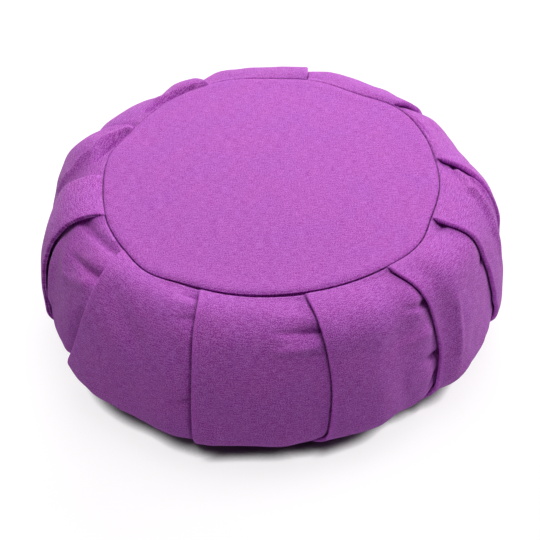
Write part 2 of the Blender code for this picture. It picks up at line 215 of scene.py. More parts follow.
# Where the filling pushes: it fades in below the top seam and out above the bottom one,
# and is weaker low down at the back
FILL_FADE_IN = 0.16
FILL_FADE_OUT = (0.88, 0.12)
BACK_FADE = (95.0, 20.0)
LOW_FADE = (0.22, 0.25)
LOW_LOSS = 0.55

# Low, wide unevenness from the loose filling
WAVES = (
    # millimetres, turns around, turns down, start
    (0.30, 7, 5.0, 0.7),
    (0.22, 13, -9.0, 2.1),
    (0.20, 19, 14.0, 4.4),
    (0.16, 31, -22.0, 1.3),
    (0.16, 43, 31.0, 0.4),
)
CROSSED_WAVES = (
    # millimetres, turns around, turns down, start, and the crossing wave's turns
    (0.13, 67, -17.0, 3.0, 9, 11.0),
    (0.11, 29, 47.0, 5.1, 17, -6.0),
)

# Ridges and valleys in the cloth, by the pleat that their panel starts at: from and to,
# as azimuth and down, in millimetres the height (a valley's is negative) and the half
# width, and how much of it fades away towards the "from" end
CREASES = (
    # panel, azimuth, down, azimuth, down, height, half width, fading
    ("P10", -60.0, 0.038, -80.0, 0.084, -5.5, 4.2, 0.75),
    ("P10", -72.0, 0.025, -65.0, 0.020, 1.6, 3.6, 0.3),
    ("P10", -77.0, 0.15, -73.0, 0.26, 2.6, 9.0, 0.0),
    ("P10", -80.0, 0.26, -79.5, 0.50, 4.0, 9.0, 0.0),
    ("P10", -70.5, 0.195, -55.5, 0.158, -7.4, 4.6, 0.85),
    ("P10", -70.0, 0.285, -61.0, 0.225, 2.4, 5.0, 0.4),
    ("P10", -58.0, 0.36, -66.0, 0.72, -3.6, 7.0, 0.0),
    ("P12", -50.0, 0.17, -40.0, 0.30, -2.0, 9.0, 0.0),
    ("P12", -33.5, 0.060, -27.6, 0.050, -2.8, 2.3, 0.9),
    ("P12", -31.0, 0.165, -25.5, 0.147, -3.6, 2.9, 0.9),
    ("P12", -33.0, 0.100, -28.5, 0.098, 1.4, 3.0, 0.7),
    ("P12", -29.8, 0.515, -24.8, 0.49, -3.6, 3.4, 0.9),
    ("P12", -32.0, 0.20, -28.0, 0.22, 1.0, 6.0, 0.7),
    ("P12", -27.4, 0.050, -26.3, 0.10, -3.2, 1.3, 0.3),
    ("P12", -26.3, 0.10, -25.2, 0.20, -3.2, 1.3, 0.0),
    ("P12", -25.2, 0.20, -24.4, 0.35, -3.2, 1.3, 0.0),
    ("P12", -24.4, 0.35, -24.2, 0.65, -3.2, 1.3, 0.0),
    ("P12", -24.2, 0.65, -25.2, 0.92, -3.2, 1.3, 0.0),
    ("P1", -5.0, 0.172, 8.0, 0.183, -5.6, 3.5, 0.85),
    ("P1", -4.0, 0.238, 5.8, 0.236, 3.4, 4.0, 0.6),
    ("P1", -4.0, 0.11, 8.0, 0.13, 1.2, 5.0, 0.6),
    ("P1", -18.0, 0.20, -2.0, 0.19, 1.4, 12.0, 0.0),
    ("P2", 11.0, 0.19, 34.0, 0.18, 4.6, 14.0, 0.0),
    ("P2", 10.0, 0.26, 27.0, 0.25, 0.8, 6.5, 0.4),
    ("P2", 30.0, 0.200, 38.5, 0.228, -4.2, 3.4, 0.9),
    ("P2", 29.0, 0.34, 36.5, 0.35, 1.8, 6.0, 0.5),
    ("P2", 32.0, 0.455, 40.5, 0.50, -4.2, 3.4, 0.85),
    ("P2", 34.0, 0.64, 40.0, 0.60, -3.0, 3.2, 0.85),
    ("P2", 30.0, 0.55, 36.5, 0.56, 1.4, 4.0, 0.5),
    ("P3", 41.0, 0.19, 60.0, 0.18, 3.6, 14.0, 0.0),
    ("P3", 46.3, 0.28, 45.6, 0.52, 1.7, 3.2, 0.0),
    ("P3", 54.0, 0.045, 64.0, 0.055, -3.0, 3.2, 0.9),
    ("P3", 57.0, 0.30, 66.0, 0.28, -2.6, 3.4, 0.9),
    ("P4", 92.5, 0.073, 90.5, 0.085, -3.0, 2.2, 0.0),
    ("P4", 72.5, 0.420, 74.0, 0.254, 3.8, 4.0, 0.8),
    ("P4", 74.0, 0.254, 77.5, 0.181, 4.0, 3.8, 0.0),
    ("P4", 77.5, 0.181, 80.5, 0.124, 3.8, 3.4, 0.0),
    ("P4", 80.5, 0.124, 89.0, 0.078, 3.0, 2.8, 0.0),
    ("P4", 83.5, 0.420, 84.0, 0.217, 2.6, 2.5, 0.9),
    ("P4", 84.0, 0.217, 86.5, 0.130, 2.6, 2.3, 0.0),
    ("P4", 83.0, 0.120, 79.5, 0.280, -1.4, 3.2, 0.4),
    ("P4", 86.0, 0.054, 81.5, 0.027, 0.9, 1.8, 0.3),
    ("P5", 108.0, 0.009, 126.5, 0.009, 1.0, 1.3, 0.3),
    ("P5", 108.0, 0.021, 126.0, 0.020, -2.2, 1.4, 0.4),
    ("P5", 118.0, 0.09, 98.0, 0.07, -1.8, 6.0, 0.4),
    ("P8", -163.0, 0.014, -146.0, 0.058, 2.0, 2.8, 0.2),
    ("P8", -150.0, 0.085, -161.0, 0.034, -1.2, 2.0, 0.4),
    ("P8", -130.5, 0.02, -124.0, 0.16, -2.0, 4.5, 0.0),
    ("P8", -139.0, 0.030, -158.0, 0.010, -5.6, 2.3, 0.35),
    ("P9", -127.0, 0.012, -121.5, 0.050, 2.0, 2.6, 0.3),
    ("P9", -121.5, 0.050, -112.0, 0.080, 3.0, 2.6, 0.0),
    ("P9", -112.0, 0.080, -107.5, 0.157, 3.0, 2.7, 0.0),
    ("P9", -107.5, 0.157, -106.5, 0.300, 2.0, 2.8, 0.0),
    ("P9", -107.5, 0.050, -113.5, 0.027, -5.2, 2.3, 0.6),
    ("P9", -113.5, 0.027, -119.5, 0.020, -5.8, 2.3, 0.0),
    ("P9", -119.5, 0.020, -125.5, 0.010, -4.8, 2.1, 0.0),
)

# How high the strap's inner face rides over the plain side, and how far it lies towards
# the front, in millimetres
STRAP_PATH = (
    # down, over
    (0.0, -1.6), (0.03, 0.4), (0.07, 1.2), (0.12, 1.2), (0.22, -0.4), (0.35, -1.6),
    (0.5, -2.0), (0.65, -4.2), (0.8, -4.8), (0.92, -3.0), (1.0, -2.0),
)
STRAP_SHIFT = (
    # down, forward
    (0.0, 2.6), (0.10, 4.2), (0.35, 1.8), (0.7, -1.0), (1.0, -1.4),
)
STRAP_START = 0.001
STRAP_END = 0.985
STRAP_ROWS = 150
STRAP_COLUMNS = 26
STRAP_EDGE_REACH = 1.4

# The strap's edge, with the fine line between its two layers
STRAP_EDGE = (
    # in from the edge, up through the thickness
    (0.20, 0.01), (0.05, 0.08), (0.0, 0.20), (0.0, 0.46), (0.55, 0.53),
    (0.55, 0.61), (0.0, 0.67), (0.0, 0.84), (0.05, 0.94), (0.20, 0.99),
)

# The cotton with its dye, in linear light: how bright its darkest and lightest threads are, and
# how much of the green they keep; the light ones are partly a painted highlight on the
# thread crowns, and the dark ones partly painted shade between the threads
COTTON = (0.505, 0.094, 0.560)
DARK_THREAD_AND_GAP_SHADE = (0.72, 0.48)
LIGHT_THREAD_AND_CROWN_HIGHLIGHT = (1.38, 1.75)
# painted highlight on fold noses and strap edges: how much brighter, and how much of that shows
FOLD_HIGHLIGHT = 1.35
FOLD_HIGHLIGHT_SHARE = 0.3
COOL = (0.975, 0.99, 1.01, 1.0)
WARM = (1.03, 0.99, 0.99, 1.0)
DRIFT_SPAN = (0.3, 0.7)
ROUGHNESS = (0.82, 0.97)
SPECULAR = 0.25
SHEEN_ROUGHNESS = 0.45
SHEEN_TINT = (1.0, 0.75, 1.0, 1.0)
SIDE_LOOK = {"sheen": 0.2, "spread": 0.34}
PANEL_LOOK = {"sheen": 0.1, "spread": 0.68}

# The plain weave; the scales of its noises are per metre
THREADS_PER_METRE = 2000.0
THREAD_DIP = 0.35
WANDER_SCALE = 260.0
WANDER = 0.0004
SLUB_SCALE = 1400.0
SLUB_STRETCH = 0.12
WARP_SLUBS = 0.6
WEFT_SLUBS = 1.4
SLUB_HEIGHT = 0.5
FUZZ_SCALE = 1500.0
DRIFT_SCALE = 38.0
NAP_SCALE = 420.0
NAP_HEIGHT = 0.6
# how much paler the raised thread crowns and darker the gaps are painted, a painted highlight and
# shade
CROWN_HIGHLIGHT_AND_GAP_SHADE = 0.22
TONE_OF_SLUBS = 0.55
TONE_OF_FUZZ = 2.1
MEAN_TONE = 1.765
WEAVE_RELIEF = 0.35
RELIEF_DISTANCE = 0.0005

# The floor and the studio
WHITE = (1.0, 1.0, 1.0, 1.0)
BLACK = (0.0, 0.0, 0.0, 1.0)
FLOOR_HALF = 6.0
FLOOR_DROP = 0.0002
FLOOR_BOUNCE = (0.72, 0.72, 0.76, 1.0)
FLOOR_SEEN = (0.25, 0.245, 0.25, 1.0)
FLOOR_GLOW = (0.84, 0.83, 0.835, 1.0)
FLOOR_ROUGHNESS = 0.9
SHADE_REACH = 0.016
SHADE_SPAN = (0.50, 0.88)
SKY_SEEN = 0.98
SKY_LIGHT = 0.03
LIGHT_TARGET = (0.0, 0.0, 0.08)
STUDIO_LIGHTS = (
    # name, place, size, power
    ("overhead", (0.1, -0.15, 1.9), 1.6, 22.5),
    ("behind", (0.0, 1.75, 0.95), 1.2, 25.5),
    ("left_side", (-1.7, 0.0, 0.9), 1.2, 2.2),
    ("right_side", (1.63, 0.45, 0.9), 1.2, 13.8),
)

# The camera, from the photograph's outline of the top seam
CAMERA_AZIMUTH = -5.7
CAMERA_ELEVATION = 40.99
CAMERA_DISTANCE = 1.6
CAMERA_PIVOT = Vector((0.0, 0.0, 0.06))
CAMERA_TARGET = Vector((0.0, 0.0, 0.0464))
CAMERA_LENS = 144.3
CAMERA_SENSOR = 36.0


def ease(share):
    """0 to 1 with a level start and end."""
    share = np.clip(share, 0.0, 1.0)
    return share * share * (3.0 - 2.0 * share)


def level_between(ends, place):
    """1 between the two middle places of four, easing to 0 at the outer two."""
    rise, full, fall, end = ends
    return ease((place - rise) / (full - rise)) * (1.0 - ease((place - fall) / (end - fall)))


def turned_from(azimuth, middle):
    """The signed angle from a middle azimuth, between -180 and 180."""
    return (azimuth - middle + 180.0) % 360.0 - 180.0


def along_table(rows, place):
    """Reads a two-column table, easing from row to row."""
    places, values = np.array(rows, float).T
    row = np.clip(np.searchsorted(places, place, side="right") - 1, 0, len(places) - 2)
    share = (place - places[row]) / (places[row + 1] - places[row])
    return values[row] + (values[row + 1] - values[row]) * ease(share)


def curve_through(stations, values, place):
    """A smooth curve through a few values, with the mean slope at each."""
    stations = np.array(stations, float)
    values = np.array(values, float)
    slopes = np.gradient(values, stations)
    row = np.clip(np.searchsorted(stations, place, side="right") - 1, 0, len(stations) - 2)
    step = stations[row + 1] - stations[row]
    t = (place - stations[row]) / step
    start = (1 + 2 * t) * (1 - t) ** 2 * values[row] + t * (1 - t) ** 2 * step * slopes[row]
    end = t * t * (3 - 2 * t) * values[row + 1] + t * t * (t - 1) * step * slopes[row + 1]
    return start + end


def around_table(rows, azimuth):
    """A smooth curve through a table of azimuths that closes on itself."""
    first = rows[0][0]
    before = [(place - 360.0, value) for place, value in rows[-2:]]
    after = [(place + 360.0, value) for place, value in rows[:2]]
    places, values = zip(*before, *rows, *after)
    return curve_through(places, values, (azimuth - first) % 360.0 + first)


def softened(values, reach):
    """A running mean that keeps both ends."""
    padded = np.concatenate([
        2 * values[0] - values[reach:0:-1], values, 2 * values[-1] - values[-2:-reach - 2:-1],
    ])
    window = np.hanning(2 * reach + 3)[1:-1]
    return np.convolve(padded, window / window.sum(), mode="valid")


def plain_side():
    """The turned side as closely spaced places: down, radius, height, normal and length."""
    turn = np.linspace(0.0, math.pi / 2, PROFILE_STEPS)
    shoulder = 2 / SHOULDER_POWER
    tuck = 2 / TUCK_POWER
    upper_radius = SEAM_RADIUS + (WIDEST_RADIUS - SEAM_RADIUS) * np.sin(turn) ** shoulder
    upper_height = WIDEST_HEIGHT + (SEAM_HEIGHT - WIDEST_HEIGHT) * np.cos(turn) ** shoulder
    lower_radius = FOOT_RADIUS + (WIDEST_RADIUS - FOOT_RADIUS) * np.cos(turn) ** tuck
    lower_height = WIDEST_HEIGHT - (WIDEST_HEIGHT - FOOT_HEIGHT) * np.sin(turn) ** tuck
    radius = np.concatenate([upper_radius, lower_radius[1:]])
    height = np.concatenate([upper_height, lower_height[1:]])
    steps = np.hypot(np.diff(radius), np.diff(height))
    length = np.concatenate([[0.0], np.cumsum(steps)])
    even = np.linspace(0.0, length[-1], PROFILE_PLACES)
    radius = softened(np.interp(even, length, radius), BEND_SOFTNESS)
    height = softened(np.interp(even, length, height), BEND_SOFTNESS)
    out = -np.gradient(height, even)
    up = np.gradient(radius, even)
    size = np.hypot(out, up)
    return even / length[-1], radius, height, out / size, up / size, length[-1]


DOWN, RADIUS, HEIGHT, NORMAL_OUT, NORMAL_UP, SIDE_LENGTH = plain_side()


def tilt_lift(azimuth, radius, height):
    """The cushion stands a little higher on its right."""
    reach = radius * np.cos(np.radians(azimuth - TILT_AZIMUTH))
    return TILT * reach * np.clip(height / SEAM_HEIGHT, 0.0, 1.0)


def at(azimuth, radius, height):
    """Points from azimuth, radius and height, with the tilt."""
    turn = np.radians(azimuth)
    lifted = height + tilt_lift(azimuth, radius, height)
    right = radius * np.sin(turn)
    back = -radius * np.cos(turn)
    return np.stack(np.broadcast_arrays(right, back, lifted), -1)


def seam_radius(azimuth):
    return SEAM_RADIUS + MM * around_table(SEAM_OUTLINE, azimuth)


def seam_share(azimuth):
    """How far the top seam is drawn in: fully at the front, hardly at the back."""
    return along_table(SEAM_DRAW, np.abs(turned_from(azimuth, 0.0)))


def front_share(azimuth):
    """How much wider than elsewhere the top seam gapes, at the front."""
    return np.exp(-(turned_from(azimuth, FRONT_AZIMUTH) / FRONT_HALF_ANGLE) ** 2)


def seam_depth(azimuth):
    return SEAM_DEPTH * seam_share(azimuth) + FRONT_DEPTH * front_share(azimuth)


def rolled_edge(azimuth, distance):
    """How far the side's edge has turned down into the seam, at a distance from it."""
    inside = np.clip(1.0 - distance / (SEAM_ROLL + FRONT_ROLL * front_share(azimuth)), 0.0, 1.0)
    return seam_depth(azimuth) * (1.0 - np.sqrt(1.0 - inside ** 2))


def seam_gap(azimuth):
    """The open line between the panel and the side, widest at the front."""
    return SEAM_GAP + DRAWN_GAP * seam_share(azimuth) + FRONT_GAP * front_share(azimuth)


def filling_share(azimuth, down):
    """How far the filling pushes the side out: less at the seams, and low at the back."""
    back_start, back_length = BACK_FADE
    low_start, low_length = LOW_FADE
    end_start, end_length = FILL_FADE_OUT
    behind = ease((np.abs(turned_from(azimuth, 0.0)) - back_start) / back_length)
    low = 1.0 - LOW_LOSS * behind * ease((down - low_start) / low_length)
    return ease(down / FILL_FADE_IN) * (1.0 - ease((down - end_start) / end_length)) * low


def lumps(azimuth, down):
    """Low, wide unevenness from the loose filling."""
    turn = np.radians(azimuth)
    waves = 0.0
    for size, around, along, start in WAVES:
        waves = waves + size * np.sin(around * turn + along * down + start)
    for size, around, along, start, crossing, crossing_along in CROSSED_WAVES:
        wave = size * np.sin(around * turn + along * down + start)
        waves = waves + wave * np.sin(crossing * turn + crossing_along * down)
    return MM * waves * np.sin(math.pi * np.clip(down, 0.0, 1.0))


def side_point(azimuth, down, proud):
    """A point of the side, uneven as the filling makes it."""
    pushed = filling_share(azimuth, down) * MM * around_table(SIDE_OUTLINE, azimuth)
    proud = proud + pushed + lumps(azimuth, down)
    near_seam = np.clip(1.0 - down / NEAR_SEAM, 0.0, 1.0) ** 2
    radius = np.interp(down, DOWN, RADIUS)
    radius = radius + near_seam * MM * around_table(SEAM_OUTLINE, azimuth)
    radius = radius + proud * np.interp(down, DOWN, NORMAL_OUT)
    height = np.interp(down, DOWN, HEIGHT) + proud * np.interp(down, DOWN, NORMAL_UP)
    return at(azimuth, radius, height)


def strap_seat(azimuth, down):
    """How much the strap calms the cloth under it, and how deep the hollow there is."""
    off = np.abs(turned_from(azimuth, STRAP_AZIMUTH))
    calm = 1.0 - ease((off - CALM_HALF_ANGLE) / SEAT_FADE)
    under = 1.0 - ease((off - SEAT_HALF_ANGLE) / SEAT_FADE)
    return calm, SEAT_DEPTH * level_between(SEAT_ENDS, down) * under


def crease_relief(panel, azimuth, down):
    """The height that a panel's creases add at its places."""
    relief = np.zeros(np.broadcast(azimuth, down).shape)
    chain = relief
    chain_end = None
    for owner, start, start_down, end, end_down, height, half_width, fading in CREASES:
        if owner != panel:
            continue
        across = np.radians(turned_from(azimuth, start)) * WIDEST_RADIUS
        below = (down - start_down) * SIDE_LENGTH
        run = math.radians(end - start) * WIDEST_RADIUS
        drop = (end_down - start_down) * SIDE_LENGTH
        share = np.clip((across * run + below * drop) / (run * run + drop * drop), 0.0, 1.0)
        distance = np.hypot(across - share * run, below - share * drop)
        strength = 1.0 - fading * (1.0 - share)
        width = MM * half_width * (0.5 + 0.5 * strength)
        piece = MM * height * strength * np.exp(-(distance / width) ** 2)
        # a crease that goes on from the row before does not double it where they meet
        if (start, start_down) == chain_end:
            chain = np.where(np.abs(piece) > np.abs(chain), piece, chain)
        else:
            relief = relief + chain
            chain = piece
        chain_end = (end, end_down)
    return relief + chain


def side_rows():
    """Places down the side, closer together at the seams."""
    parts = [np.linspace(start, end, rows, endpoint=False) for start, end, rows in SIDE_ROWS]
    return np.concatenate([*parts, np.linspace(SIDE_ROWS[-1][1], 1.0, FOOT_ROWS)])


def panel_surface(number, downs, folds, opened):
    """A panel's azimuths and heights, from its fold to the next one."""
    name, _, proud, _, swell = FOLDS[number]
    following = (number + 1) % len(FOLDS)
    next_fold = folds[following] + (360.0 if following == 0 else 0.0)
    radius = np.interp(downs, DOWN, RADIUS)
    start = folds[number] + np.degrees(NOSE_REACH / radius)
    end = next_fold - np.degrees(TRENCH_REACH / radius)
    azimuth = start[:, None] + (end - start)[:, None] * PANEL_SHARES
    high = proud * MM / 2
    low = FOLDS[following][2] * MM / 2
    level = high * (1 - PANEL_SHARES) ** RISE_POWER - low * PANEL_SHARES ** RISE_POWER
    level = level * opened[:, None]
    level = level + (SEAM_STEP * (1 - downs) * (1 - opened))[:, None] * (1 - PANEL_SHARES)
    fullness = np.sin(math.pi * downs) ** SWELL_POWER
    level = level + swell * MM * np.sin(math.pi * PANEL_SHARES) * fullness[:, None]
    seam_fade = ease(np.minimum(downs, 1.0 - downs) / SEAM_FADE)
    level = level + crease_relief(name, azimuth, downs[:, None]) * seam_fade[:, None]
    return azimuth, level


def fold_section(fold, tail, level, downs, opened):
    """The panel's level lifted over the tail it covers, and the slot and nose beside it."""
    _, _, proud, gape, _ = fold
    thick = (proud - gape) * MM * opened + SHUT_THICKNESS * SEAM_STEP * (1 - opened)
    # a fold never sinks into the cloth that it covers
    clear = tail + gape * MM * opened * LIFT_GAP + thick
    lift = np.maximum(clear - level[:, 0], 0.0)
    level = level + lift[:, None] * (1 - PANEL_SHARES) ** LIFT_POWER
    bottom = level[:, 0] - thick
    dip = min(1.0, (proud - DIP_START) / DIP_RANGE) * MM
    section = []
    for reach, share, sunk, added in SLOT:
        height = tail * share + bottom * (1 - share) + sunk * dip + added * MM
        section.append((reach * MM, height))
    for step in range(NOSE_STEPS):
        turn = math.pi * (step + 0.5) / NOSE_STEPS
        reach = NOSE_REACH - NOSE_ROUND * thick * math.sin(turn)
        section.append((reach, bottom + thick * (1 - math.cos(turn)) / 2))
    # at the seams the slot closes to a small step
    shut = 1 - opened
    for place, (reach, height) in enumerate(section):
        share = (place + 1) / (len(section) + 1)
        shut_reach = (NOSE_REACH + TRENCH_REACH) * share - TRENCH_REACH
        shut_height = SEAM_STEP * (1 - downs) * share
        section[place] = (reach * opened + shut_reach * shut, height * opened + shut_height * shut)
    return level, section


def pleated_side():
    """The side as a grid: azimuth, down, proud and the painted highlight on and beside each fold's
    nose.
    """
    downs = side_rows()
    radius = np.interp(downs, DOWN, RADIUS)
    opened = ease(np.minimum(downs, 1.0 - downs) / OPENING_LENGTH)
    folds = [curve_through(FOLD_STATIONS, fold[1], downs) for fold in FOLDS]
    panels = [panel_surface(number, downs, folds, opened) for number in range(len(FOLDS))]
    # a painted highlight on each fold's nose, fading across the start of the panel beside it
    edge_highlight = np.exp(-(PANEL_SHARES / NOSE_HIGHLIGHT_REACH) ** 2)
    azimuths = []
    prouds = []
    nose_highlights = []
    for number, fold in enumerate(FOLDS):
        azimuth, level = panels[number]
        tail = panels[number - 1][1][:, -1]
        level, section = fold_section(fold, tail, level, downs, opened)
        for place, (reach, height) in enumerate(section):
            azimuths.append(folds[number] + np.degrees(reach / radius))
            prouds.append(height)
            nose_highlights.append(np.full(len(downs), float(place >= len(SLOT))))
        azimuths.extend(azimuth.T)
        prouds.extend(level.T)
        nose_highlights.extend(np.repeat(edge_highlight[:, None], len(downs), 1))
    azimuths = np.array(azimuths).T
    prouds = np.array(prouds).T
    column = downs[:, None]
    calm, flat = strap_seat(azimuths, column)
    prouds = prouds * (1.0 - CALMED * calm) - flat
    return azimuths, np.broadcast_to(column, azimuths.shape), prouds, np.array(nose_highlights).T


class Cloth:
    """A mesh that grows ring by ring, with each point's place on the flat cloth in metres."""

    def __init__(self):
        self.points = []
        self.places = []
        self.painted_highlights = []
        self.faces = []

    def ring(self, points, places, painted_highlights=None):
        """Adds points, their places and how much painted highlight they get, and gives their
        numbers.
        """
        start = len(self.points)
        self.points.extend(map(tuple, points))
        self.places.extend(map(tuple, places))
        self.painted_highlights.extend([0.0] * len(points) if painted_highlights is None else list(painted_highlights))
        return list(range(start, start + len(points)))

    def join(self, outer, inner):
        """Four-sided faces between two rings of the same count."""
        count = len(outer)
        for index in range(count):
            after = (index + 1) % count
            self.faces.append((outer[index], outer[after], inner[after], inner[index]))

    def zip_up(self, outer, inner):
        """Triangles between two rings of different counts, both in order of azimuth."""
        def turns(ring):
            values = [math.atan2(self.points[i][0], -self.points[i][1]) for i in ring]
            for index in range(1, len(values)):
                while values[index] < values[index - 1] - math.pi:
                    values[index] += 2 * math.pi
            return values + [values[0] + 2 * math.pi]

        first = turns(outer)[0]
        gaps = [abs(math.remainder(turn - first, 2 * math.pi)) for turn in turns(inner)[:-1]]
        nearest = gaps.index(min(gaps))
        inner = inner[nearest:] + inner[:nearest]
        outer_turns = turns(outer)
        inner_turns = turns(inner)
        shift = round((outer_turns[0] - inner_turns[0]) / (2 * math.pi)) * 2 * math.pi
        inner_turns = [value + shift for value in inner_turns]
        i = 0
        j = 0
        while i < len(outer) or j < len(inner):
            a = outer[i % len(outer)]
            b = inner[j % len(inner)]
            if j == len(inner) or (i < len(outer) and outer_turns[i + 1] <= inner_turns[j + 1]):
                self.faces.append((a, outer[(i + 1) % len(outer)], b))
                i += 1
            else:
                self.faces.append((a, inner[(j + 1) % len(inner)], b))
                j += 1

    def fan(self, ring, point):
        """Closes a ring with triangles to one point."""
        middle = self.ring([point], [(0.0, 0.0)])[0]
        for index, corner in enumerate(ring):
            self.faces.append((corner, ring[(index + 1) % len(ring)], middle))

    def disc(self, edge, loops, middle):
        """Closes a fine ring with coarser ones, down to a point in the middle."""
        previous = edge
        for points in loops:
            ring = self.ring(points, points[:, :2])
            if previous is edge:
                self.zip_up(previous, ring)
            else:
                self.join(previous, ring)
            previous = ring
        self.fan(previous, middle)

    def finish(self, name, material):
        """The finished object, with its faces outwards, its cloth places and its painted fold
        highlight.
        """
        mesh = bpy.data.meshes.new(name)
        mesh.from_pydata(self.points, [], self.faces)
        bm = bmesh.new()
        bm.from_mesh(mesh)
        bmesh.ops.recalc_face_normals(bm, faces=bm.faces[:])
        bm.to_mesh(mesh)
        bm.free()
        corners = np.zeros(len(mesh.loops), int)
        mesh.loops.foreach_get("vertex_index", corners)
        layer = mesh.uv_layers.new(name="cloth_metres")
        layer.data.foreach_set("uv", np.array(self.places, float)[corners].ravel())
        # the painted highlight on the fold noses and strap edges, kept as a point attribute
        edge_highlight = mesh.attributes.new("fold_highlight", "FLOAT", "POINT")
        edge_highlight.data.foreach_set("value", np.array(self.painted_highlights, float))
        mesh.materials.append(material)
        mesh.shade_smooth()
        thing = bpy.data.objects.new(name, mesh)
        bpy.context.scene.collection.objects.link(thing)
        return thing


def panel_height(share, distance):
    """The top panel's upper face, at a share of the way out and a distance from the seam."""
    puff = PUFF * np.exp(-((distance - PUFF_REACH) / PUFF_REACH) ** 2)
    return SEAM_HEIGHT + CROWN * (1.0 - share ** 2) + puff


def panel_ring(azimuths, share, inset, sink):
    """A ring of the top panel's surface, or of one sunk below it."""
    edge = seam_radius(azimuths) - inset
    radius = edge * share
    near_edge = np.clip(1.0 - (edge - radius) / LIP_REACH, 0.0, 1.0)
    droop = LIP_DROOP * seam_share(azimuths) * near_edge ** 2
    return at(azimuths, radius, panel_height(share, edge - radius) - droop - sink)


def lip_ring(azimuths, curl):
    """A ring of the panel's half-round edge, from its top at 0 degrees to its foot at 180."""
    edge = seam_radius(azimuths) - seam_gap(azimuths)
    turn = math.radians(curl)
    drawn = seam_share(azimuths)
    inset = CLOTH / 2 * (LIP_LEAST + (1 - LIP_LEAST) * drawn) * (1.0 - math.sin(turn))
    drop = CLOTH / 2 * (1.0 - math.cos(turn)) + LIP_DROOP * drawn
    return at(azimuths, edge - inset, panel_height(1.0, 0.0) - drop)


def hollow_ring(azimuths, inset, sink):
    """A ring of the filling's face under the seam, as deep as the side's edge."""
    radius = seam_radius(azimuths) - inset
    return at(azimuths, radius, panel_height(1.0, 0.0) - seam_depth(azimuths) - sink)


def even_azimuths(count):
    return np.arange(count) * 360.0 / count - 180.0


def make_side(material):
    """The pleated side with the filling in it."""
    azimuths, downs, prouds, nose_highlights = pleated_side()
    points = side_point(azimuths, downs, prouds)
    points[..., 2] -= rolled_edge(azimuths, downs * SIDE_LENGTH)
    around = np.radians(azimuths) * WIDEST_RADIUS
    cloth = Cloth()
    rows = []
    for row in range(len(points)):
        places = np.stack([around[row], downs[row] * SIDE_LENGTH], 1)
        # painted highlight on the fold noses, fading out near both seams
        row_highlight = nose_highlights[row] * ease(min(row, len(points) - row) / NOSE_HIGHLIGHT_ROWS)
        rows.append(cloth.ring(points[row], places, row_highlight))
    for upper, lower in zip(rows, rows[1:]):
        cloth.join(upper, lower)
    seam = azimuths[0]
    sink = CLOTH + TOUCH_GAP
    # the filling closes the top under the panel and the bottom over its panel
    hollow = cloth.ring(hollow_ring(seam, 0.0, sink), points[0][:, :2])
    under_edge = cloth.ring(hollow_ring(seam, HOLLOW_REACH, sink), points[0][:, :2])
    cloth.join(rows[0], hollow)
    cloth.join(hollow, under_edge)
    coarse = even_azimuths(DISC_COLUMNS)
    under_top = [panel_ring(coarse, share, 0.0, sink) for share in UNDER_TOP_SHARES]
    cloth.disc(under_edge, under_top, (0.0, 0.0, SEAM_HEIGHT + CROWN - sink))
    foot_height = np.full(DISC_COLUMNS, FOOT_HEIGHT)
    foot = [at(coarse, FOOT_RADIUS * share, foot_height) for share in FOOT_SHARES]
    cloth.disc(rows[-1], foot, (0.0, 0.0, FOOT_HEIGHT))
    return cloth.finish("pleated_side", material)


def make_top_cloth(material):
    """The crowned round panel, its edge rolled down into the seam."""
    azimuths = even_azimuths(TOP_COLUMNS)
    shares = np.concatenate([1.0 - EDGE_INSETS / SEAM_RADIUS, FACE_SHARES])
    cloth = Cloth()

    def face(sink, curls):
        loops = [lip_ring(azimuths, curl) for curl in curls]
        loops += [panel_ring(azimuths, share, seam_gap(azimuths), sink) for share in shares]
        rings = [cloth.ring(points, points[:, :2]) for points in loops]
        for outer, inner in zip(rings, rings[1:]):
            cloth.join(outer, inner)
        height = float(panel_height(0.0, SEAM_RADIUS)) - sink
        cloth.fan(rings[-1], (0.0, 0.0, height))
        return rings[0]

    cloth.join(face(0.0, LIP_CURLS), face(CLOTH, ()))
    return cloth.finish("top_cloth", material)


def make_bottom_cloth(material):
    """The flat round panel on the floor, its edge drawn in a little by each pleat."""
    azimuths = even_azimuths(BASE_COLUMNS)
    outline = BASE_RADIUS + BASE_WAVE * np.sin(np.radians(azimuths) * len(FOLDS))
    cloth = Cloth()

    def face(height):
        rings = []
        for share in BASE_SHARES:
            points = at(azimuths, outline * share, np.full(BASE_COLUMNS, height))
            points[:, 2] = height
            rings.append(cloth.ring(points, points[:, :2]))
        for outer, inner in zip(rings, rings[1:]):
            cloth.join(outer, inner)
        cloth.fan(rings[-1], (0.0, 0.0, height))
        return rings[0]

    cloth.join(face(0.0), face(BASE_THICKNESS))
    return cloth.finish("bottom_cloth", material)


def strap_point(down, across, lift):
    """A point of the strap: across is -1 to 1 over its width, lift is off its inner face."""
    radius = float(np.interp(down, DOWN, RADIUS))
    height = float(np.interp(down, DOWN, HEIGHT))
    out = float(np.interp(down, DOWN, NORMAL_OUT))
    up = float(np.interp(down, DOWN, NORMAL_UP))
    over = MM * float(along_table(STRAP_PATH, down)) + lift
    turns, crossing_turns = STRAP_RIPPLE_TURNS
    over += STRAP_RIPPLE * math.sin(turns * down + crossing_turns * across)
    # its front edge stands off the side and its back edge presses in
    behind = max(0.0, (across - PRESS_START) / (1 - PRESS_START)) ** PRESS_POWER
    pressed = STRAP_PRESS * behind - STRAP_LIFT * max(0.0, -across)
    over -= pressed * float(level_between(STRAP_BODY, down))
    shift = MM * float(along_table(STRAP_SHIFT, down))
    turns, start = STRAP_SWAY_TURNS
    sideways = across * STRAP_WIDTH / 2 + STRAP_SWAY * math.sin(turns * down + start)
    radius += over * out
    reach = radius - STRAP_BOW * sideways ** 2 / (2 * radius)
    height += over * up + float(tilt_lift(STRAP_AZIMUTH, radius, height))
    return (-reach, sideways - shift, height)


